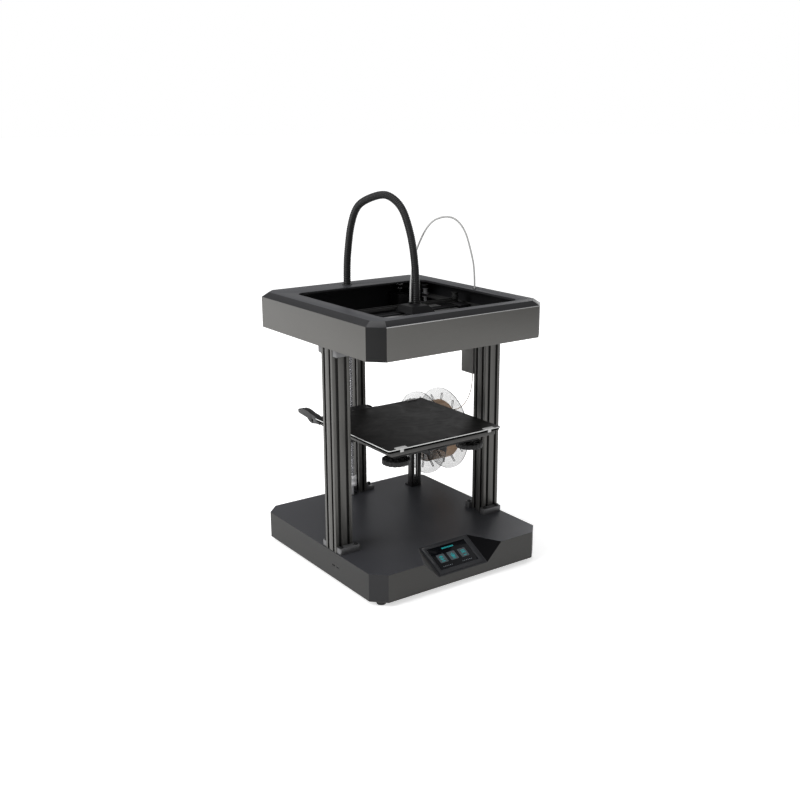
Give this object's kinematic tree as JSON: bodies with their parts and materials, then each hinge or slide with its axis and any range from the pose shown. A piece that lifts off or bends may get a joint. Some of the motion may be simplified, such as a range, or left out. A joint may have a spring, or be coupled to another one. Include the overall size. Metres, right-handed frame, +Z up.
{
  "type": "fdm 3d printer",
  "caption": "Desktop filament printer with a raised top frame, crossed-belt gantry, lifting heated bed on a rear screw, touch screen base and side spool.",
  "frame": {"origin": "bottom centre of the bounding box without the free cords, on the floor under the feet", "axes": "+X to the machine's right seen from the front, where the spool hangs; +Y to the rear; +Z up; the touch screen faces -Y"},
  "size_m": [0.467, 0.494, 0.7791],
  "materials": {
    "sheet_grey": "fine satin grey paint",
    "sheet_light": "fine satin grey paint",
    "deck": "smooth satin grey-blue paint",
    "extrusion": "matt anodised",
    "beam_black": "black anodised",
    "rubber_feet": "matt",
    "black_plastic": "matt moulded",
    "black_gloss": "gloss moulded",
    "screen_glass": "gloss cover over the lit display",
    "board": "solder mask",
    "supply_case": "perforated steel case",
    "motor": "black body",
    "bright_steel": "ground",
    "pulley": "bright turned",
    "rail": "ground rail",
    "belt": "toothed",
    "glass_bed": "coated glass plate",
    "heater": "plate",
    "bed_grey": "satin",
    "white_clip": "gloss",
    "black_paint": "black powder coat",
    "spring_steel": "plain",
    "brass": "turned",
    "smoke_clear": "smoky clear moulding",
    "filament": "tan filament",
    "hose_black": "corrugated",
    "ptfe": "milky",
    "port_metal": "plated shells in black"
  },
  "bodies": {
    "frame": {"base_cover": "sheet_grey", "base_plate": "sheet_grey", "feet": "rubber_feet", "screen_bezel": "black_gloss", "touch_screen": "screen_glass", "mainboard": "board", "power_supply": "supply_case", "z_motor": "motor", "ports": "port_metal", "column_left": "extrusion", "column_right": "extrusion", "rear_post_left": "extrusion", "rear_post_right": "extrusion", "column_brackets": "bed_grey", "top_cover": "sheet_grey", "top_tray": "black_paint", "y_rails": "rail", "xy_motors": "motor", "belt_pulleys": "pulley", "y_belts": "belt", "cord_glands": "black_plastic", "extruder_cover": "sheet_light", "extruder_motor": "motor", "spool_bracket": "black_paint", "spool_arm": "black_plastic", "hose_rear": "hose_black", "guide_tube_rear": "ptfe", "filament_strand": "filament"},
    "switch_rocker": {"power_switch": "black_gloss"},
    "z_screw": {"lead_screw": "bright_steel", "shaft_coupler": "pulley"},
    "bed": {"print_plate": "glass_bed", "heated_bed": "heater", "bed_tray": "bed_grey", "bed_clips": "white_clip", "bed_frame": "black_paint", "levelling_screws": "spring_steel", "z_carriage": "black_paint", "lead_nut": "brass"},
    "left_lower_wheel": {"wheel_left_lower": "black_plastic"},
    "left_upper_wheel": {"wheel_left_upper": "black_plastic"},
    "right_lower_wheel": {"wheel_right_lower": "black_plastic"},
    "right_upper_wheel": {"wheel_right_upper": "black_plastic"},
    "front_left_knob": {"knob_front_left": "black_plastic"},
    "front_right_knob": {"knob_front_right": "black_plastic"},
    "rear_left_knob": {"knob_rear_left": "black_plastic"},
    "rear_right_knob": {"knob_rear_right": "black_plastic"},
    "gantry": {"x_beam": "beam_black", "x_rail": "rail", "gantry_blocks": "black_paint", "x_belt": "belt"},
    "head": {"head_hood": "black_paint", "head_carriage": "black_paint", "hotend": "pulley", "hose_front": "hose_black", "guide_tube_front": "ptfe"},
    "fan": {"fan_rotor": "black_plastic"},
    "extruder_drive": {"extruder_gear": "brass"},
    "spool": {"spool_reel": "smoke_clear", "wound_filament": "filament"}
  },
  "joints": [
    {"name": "gantry_y", "type": "slide", "parent": "frame", "child": "gantry", "axis": [0, 1, 0], "range_m": [-0.133, 0.117], "deforming": ["hose_rear", "guide_tube_rear"]},
    {"name": "head_x", "type": "slide", "parent": "gantry", "child": "head", "axis": [1, 0, 0], "range_m": [-0.163, 0.087], "deforming": ["hose_front", "guide_tube_front"]},
    {"name": "bed_z", "type": "slide", "parent": "frame", "child": "bed", "axis": [0, 0, 1], "range_m": [-0.109, 0.19]},
    {"name": "z_screw_spin", "type": "hinge", "parent": "frame", "child": "z_screw", "pos_m": [-0.0185, 0.176, 0.24], "axis": [0, 0, 1], "range_deg": [-4950, 8600]},
    {"name": "power_rocker", "type": "hinge", "parent": "frame", "child": "switch_rocker", "pos_m": [-0.1235, 0.211, 0.036], "axis": [1, 0, 0], "range_deg": [-12, 0]},
    {"name": "fan_spin", "type": "hinge", "parent": "head", "child": "fan", "pos_m": [0.0195, -0.051, 0.519], "axis": [0, 1, 0], "continuous": true},
    {"name": "spool_spin", "type": "hinge", "parent": "frame", "child": "spool", "pos_m": [0.1935, 0.147, 0.195], "axis": [1, 0, 0], "continuous": true},
    {"name": "extruder_spin", "type": "hinge", "parent": "frame", "child": "extruder_drive", "pos_m": [0.1635, -0.03, 0.46], "axis": [1, 0, 0], "continuous": true},
    {"name": "left_lower_wheel_roll", "type": "hinge", "parent": "bed", "child": "left_lower_wheel", "pos_m": [-0.06858, 0.1825, 0.224], "axis": [0, 1, 0], "range_deg": [-540, 920]},
    {"name": "left_upper_wheel_roll", "type": "hinge", "parent": "bed", "child": "left_upper_wheel", "pos_m": [-0.06858, 0.1825, 0.265], "axis": [0, 1, 0], "range_deg": [-540, 920]},
    {"name": "right_lower_wheel_roll", "type": "hinge", "parent": "bed", "child": "right_lower_wheel", "pos_m": [0.03158, 0.1825, 0.224], "axis": [0, 1, 0], "range_deg": [-920, 540]},
    {"name": "right_upper_wheel_roll", "type": "hinge", "parent": "bed", "child": "right_upper_wheel", "pos_m": [0.03158, 0.1825, 0.265], "axis": [0, 1, 0], "range_deg": [-920, 540]},
    {"name": "front_left_knob_turn", "type": "hinge", "parent": "bed", "child": "front_left_knob", "pos_m": [-0.1135, -0.142, 0.259], "axis": [0, 0, 1], "continuous": true},
    {"name": "front_right_knob_turn", "type": "hinge", "parent": "bed", "child": "front_right_knob", "pos_m": [0.0765, -0.142, 0.259], "axis": [0, 0, 1], "continuous": true},
    {"name": "rear_left_knob_turn", "type": "hinge", "parent": "bed", "child": "rear_left_knob", "pos_m": [-0.1135, 0.053, 0.259], "axis": [0, 0, 1], "continuous": true},
    {"name": "rear_right_knob_turn", "type": "hinge", "parent": "bed", "child": "rear_right_knob", "pos_m": [0.0765, 0.053, 0.259], "axis": [0, 0, 1], "continuous": true}
  ],
  "couplings": [
    {"joint": "z_screw_spin", "follows": "bed_z", "rad_per_m": 785.4},
    {"joint": "left_lower_wheel_roll", "follows": "bed_z", "rad_per_m": 83.333},
    {"joint": "left_upper_wheel_roll", "follows": "bed_z", "rad_per_m": 83.333},
    {"joint": "right_lower_wheel_roll", "follows": "bed_z", "rad_per_m": -83.333},
    {"joint": "right_upper_wheel_roll", "follows": "bed_z", "rad_per_m": -83.333},
    {"joint": "extruder_spin", "follows": "spool_spin", "ratio": -12}
  ]
}
